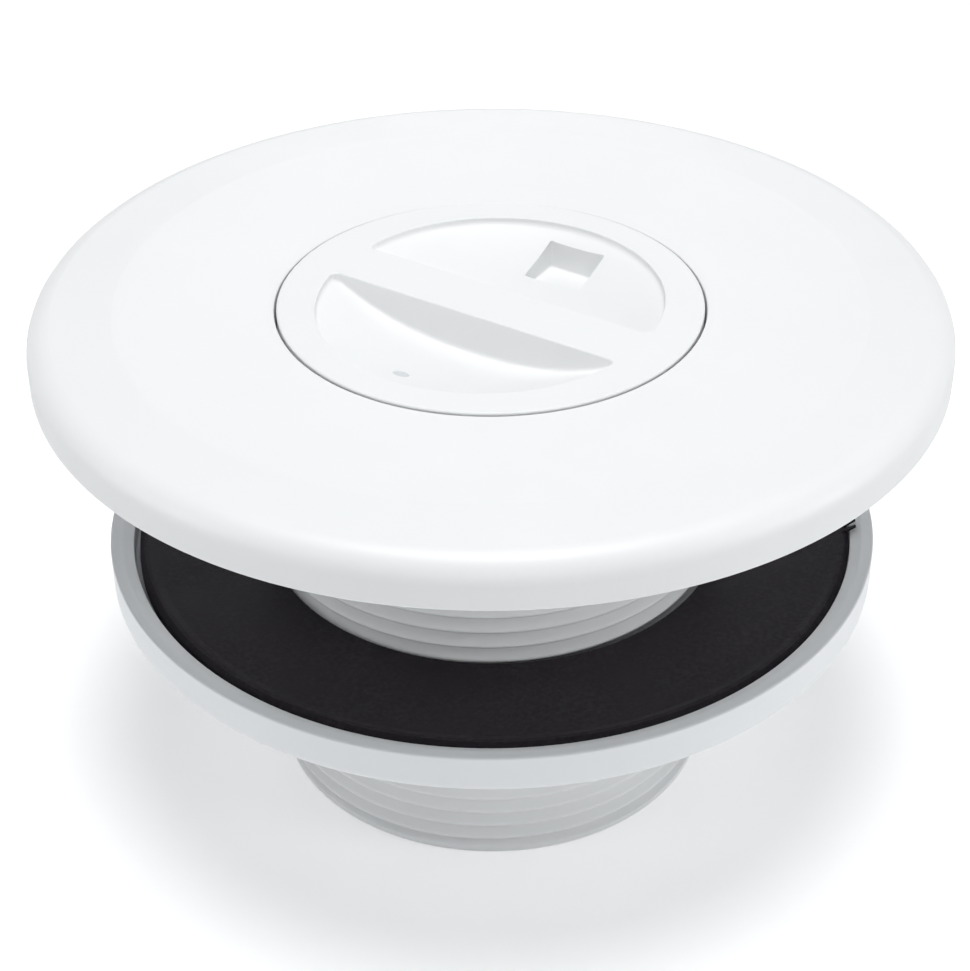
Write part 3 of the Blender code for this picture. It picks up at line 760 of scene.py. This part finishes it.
def make_lock_nut():
    """Flanged nut: a lip round the gasket's seat, a hub and grip lugs below."""
    shape = bmesh.new()
    bore = STEM_THREAD_RADIUS + NUT_THREAD_CLEARANCE
    bore_mm = bore / MM
    corners = [
        (bore_mm, 29.8, 0), (30.7, 30.6, 0.1), (48.42, 32.04, 0.25), (48.42, 34.5, 0.15), (49.9, 35.38, 1.3),
        (51.45, 35.55, 0.28), (51.45, 30.5, 0.5), (48.5, 30.5, 0.3), (46.75, 29.0, 0.5), (34.6, 28.05, 1.5),
        (34.6, 19.55, 0.5), (30.7, 19.55, 0.3), (bore_mm, 20.3, 0),
    ]
    turned(shape, rounded(corners))
    thread(
        shape, bore - THREAD_DEPTH, bore, STEM_FIRST_CREST + PITCH / 2,
        (20.3 * MM, bore, 1.0 * MM), (29.8 * MM, bore, 1.0 * MM), WHITE_NUT,
    )
    made = sealed(shape, "flanged_nut")

    # Grip lugs between the hub and the flange
    half, count = 2.0 * MM, 8
    outline = [(32.5, 28.9), (44.6, 30.0), (44.6, 26.65), (36.1, 20.15), (32.5, 20.15)]
    lug = prism([(r * MM, -half, z * MM) for r, z in outline], (0, 2 * half, 0), 0.45 * MM)
    combined(made, ring_of(lug, count, WHITE_NUT), "UNION")
    finished(made, WHITE_NUT, "nut_screw", "lock_nut")


# Stage


def make_floor():
    """Pale paper floor. It shows white to the eye, and takes a soft shadow.

    Away from the object it fades into the white of the backdrop.
    """
    shape = bmesh.new()
    bmesh.ops.create_grid(shape, x_segments=8, y_segments=8, size=3.0)
    mesh = bpy.data.meshes.new("floor")
    shape.to_mesh(mesh)
    shape.free()
    floor = link("floor", mesh)
    paper = bpy.data.materials.new("matt_paper")
    paper.use_nodes = True
    tree = paper.node_tree
    tree.nodes.remove(tree.nodes["Principled BSDF"])
    matt = add(tree, "ShaderNodeBsdfDiffuse", inputs={"Color": linear("#FAFAFA")})
    seen = add(tree, "ShaderNodeBsdfDiffuse", inputs={"Color": linear("#FFFFFF")})
    glow = add(tree, "ShaderNodeEmission", inputs={"Color": linear("#FFFFFF"), "Strength": 0.3})
    near_white = add(tree, "ShaderNodeAddShader", inputs={0: seen.outputs[0], 1: glow.outputs[0]})
    # The shadow lies within 0.13 m of the axis, and the fade ends at 0.35 m
    place = add(tree, "ShaderNodeTexCoord").outputs["Object"]
    away = add(tree, "ShaderNodeVectorMath", {"operation": "LENGTH"}, {0: place})
    far = add(tree, "ShaderNodeMapRange", {"interpolation_type": "SMOOTHSTEP"}, {
        "Value": away.outputs["Value"], "From Min": 0.13, "From Max": 0.35,
    })
    backdrop = add(tree, "ShaderNodeEmission", inputs={"Color": linear("#FFFFFF"), "Strength": 1.0})
    white = add(tree, "ShaderNodeMixShader", inputs={
        0: far.outputs["Result"], 1: near_white.outputs[0], 2: backdrop.outputs[0],
    })
    rays = add(tree, "ShaderNodeLightPath")
    direct = add(tree, "ShaderNodeMath", {"operation": "MAXIMUM"}, {
        0: rays.outputs["Is Camera Ray"], 1: rays.outputs["Is Glossy Ray"],
    })
    mixed = add(tree, "ShaderNodeMixShader", inputs={
        0: direct.outputs[0], 1: matt.outputs[0], 2: white.outputs[0],
    })
    tree.links.new(mixed.outputs[0], tree.nodes["Material Output"].inputs["Surface"])
    mesh.materials.append(paper)


def make_light():
    """A white studio: an even dome, a broad key overhead and soft lamps round the object."""
    world = bpy.data.worlds.new("studio")
    bpy.context.scene.world = world
    world.use_nodes = True
    tree = world.node_tree
    rays = add(tree, "ShaderNodeLightPath")
    dome = tree.nodes["Background"]
    dome.inputs["Color"].default_value = linear("#F2F9FF")
    dome.inputs["Strength"].default_value = 0.22
    white = add(tree, "ShaderNodeBackground", inputs={"Color": linear("#FFFFFF"), "Strength": 1.0})
    mixed = add(tree, "ShaderNodeMixShader", inputs={
        0: rays.outputs["Is Camera Ray"], 1: dome.outputs[0], 2: white.outputs[0],
    })
    tree.links.new(mixed.outputs[0], tree.nodes["World Output"].inputs["Surface"])
    aim = Vector((0, 0, 0.04))
    for name, place, size, power in (
        ("key", (0.0, -0.05, 1.0), 0.45, 6.6),
        ("left", (-1.1, -0.3, 0.26), 0.5, 2.0),
        ("right", (1.1, -0.3, 0.26), 0.5, 3.3),
        ("front", (0.0, -1.2, 0.26), 0.5, 1.15),
        ("back", (0.0, 1.1, 0.5), 0.5, 1.0),
    ):
        lamp = bpy.data.lights.new(name, "AREA")
        lamp.shape = "DISK"
        lamp.size = size
        lamp.energy = power
        made = bpy.data.objects.new(name, lamp)
        made.location = place
        made.rotation_euler = (aim - Vector(place)).to_track_quat("-Z", "Y").to_euler()
        bpy.context.scene.collection.objects.link(made)


def make_camera():
    """The photograph's view: from the front, 34 degrees down."""
    place = (0.0, -0.24439, 0.20446)
    pitch, yaw, roll = 0.594470, -0.003566, -0.0070665
    focal_px, long_side_px, sensor = 2180.27, 971, 36.0
    ahead = Vector((math.sin(yaw) * math.cos(pitch), math.cos(yaw) * math.cos(pitch), -math.sin(pitch)))
    right = ahead.cross(Vector((0, 0, 1))).normalized()
    up = right.cross(ahead)
    across = math.cos(roll) * right + math.sin(roll) * up
    upright = math.cos(roll) * up - math.sin(roll) * right
    lens = bpy.data.cameras.new("photo_view")
    lens.sensor_width = sensor
    lens.lens = focal_px * sensor / long_side_px
    lens.clip_start = 0.01
    camera = bpy.data.objects.new("photo_view", lens)
    camera.matrix_world = Matrix.Translation(place) @ Matrix(
        (across, upright, -ahead)).transposed().to_4x4()
    bpy.context.scene.collection.objects.link(camera)
    bpy.context.scene.camera = camera


bpy.context.scene.view_settings.view_transform = "Standard"

WHITE_BODY = moulded_abs("white_moulded_abs_body", "#F6F6F6", "#F2F3F3", 0.44)
WHITE_PLUG = moulded_abs("white_moulded_abs_plug", "#F6F6F6", "#F2F3F3", 0.6, gate_place()[0])
WHITE_NUT = moulded_abs("white_moulded_abs_nut", "#F3F4F5", "#EFF1F2", 0.46)
BLACK_GASKET = moulded_epdm("black_moulded_epdm_gasket", "#1F181F", "#3A363B", 0.62)
BLACK_O_RING = moulded_epdm("black_moulded_epdm_o_ring", "#1B1A1C", "#2E2D30", 0.5)
THREAD = thread_tree()
RING = ring_tree()

make_fitting_body()
make_plug()
make_plug_o_ring()
make_wall_gasket()
make_lock_nut()
make_floor()
make_light()
make_camera()
